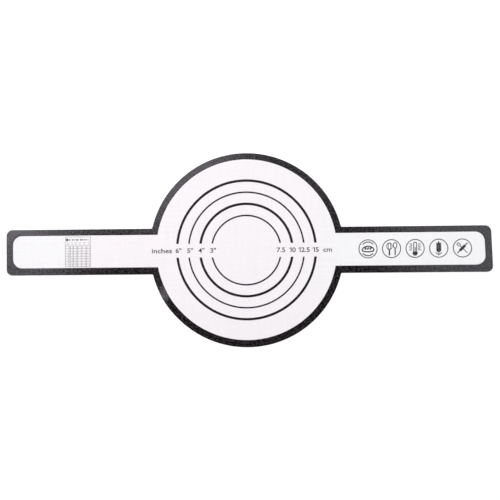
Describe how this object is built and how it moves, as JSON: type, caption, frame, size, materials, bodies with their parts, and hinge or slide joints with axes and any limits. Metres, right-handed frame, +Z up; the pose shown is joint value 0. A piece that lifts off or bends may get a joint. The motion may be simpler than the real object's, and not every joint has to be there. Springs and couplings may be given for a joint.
{
  "type": "silicone bread sling",
  "caption": "Flat round silicone baking pad with long strap handles on opposite sides that fold up to lift a loaf, with a black border and printed measuring rings.",
  "frame": {"origin": "the middle of the round pad, on the underside that lies on the table", "axes": "+X along the handles towards the one with the round signs, +Y to the rear, +Z up out of the baking face"},
  "size_m": [0.525, 0.21, 0.0009],
  "materials": {
    "silicone": "white silicone with the weave of the cloth showing through, satin",
    "glass_cloth": "plain-woven glass fibre, matt",
    "border_ink": "charcoal silicone ink over the weave, satin",
    "ring_ink": "black silicone ink, satin"
  },
  "bodies": {
    "pad": {"pad_back_coat": "silicone", "pad_glass_cloth": "glass_cloth", "pad_face_coat": "silicone", "pad_border_rear": "border_ink", "pad_border_front": "border_ink", "ring_7_5cm_rear": "ring_ink", "ring_7_5cm_front": "ring_ink", "ring_10cm_rear": "ring_ink", "ring_10cm_front": "ring_ink", "ring_12_5cm_rear": "ring_ink", "ring_12_5cm_front": "ring_ink", "ring_15cm_rear": "ring_ink", "ring_15cm_front": "ring_ink"},
    "left_strap": {"left_strap_back_coat": "silicone", "left_strap_glass_cloth": "glass_cloth", "left_strap_face_coat": "silicone", "left_strap_border_rear": "border_ink", "left_strap_border_front": "border_ink"},
    "left_grip": {"left_grip_back_coat": "silicone", "left_grip_glass_cloth": "glass_cloth", "left_grip_face_coat": "silicone", "left_grip_border": "border_ink"},
    "right_strap": {"right_strap_back_coat": "silicone", "right_strap_glass_cloth": "glass_cloth", "right_strap_face_coat": "silicone", "right_strap_border_rear": "border_ink", "right_strap_border_front": "border_ink"},
    "right_grip": {"right_grip_back_coat": "silicone", "right_grip_glass_cloth": "glass_cloth", "right_grip_face_coat": "silicone", "right_grip_border": "border_ink"}
  },
  "joints": [
    {"name": "left_handle_lift", "type": "hinge", "parent": "pad", "child": "left_strap", "pos_m": [-0.104, 0, 0.00085], "axis": [0, 1, 0], "range_deg": [0, 90]},
    {"name": "left_grip_fold", "type": "hinge", "parent": "left_strap", "child": "left_grip", "pos_m": [-0.168, 0, 0.00085], "axis": [0, 1, 0], "range_deg": [0, 90]},
    {"name": "right_handle_lift", "type": "hinge", "parent": "pad", "child": "right_strap", "pos_m": [0.104, 0, 0.00085], "axis": [0, -1, 0], "range_deg": [0, 90]},
    {"name": "right_grip_fold", "type": "hinge", "parent": "right_strap", "child": "right_grip", "pos_m": [0.168, 0, 0.00085], "axis": [0, -1, 0], "range_deg": [0, 90]}
  ]
}
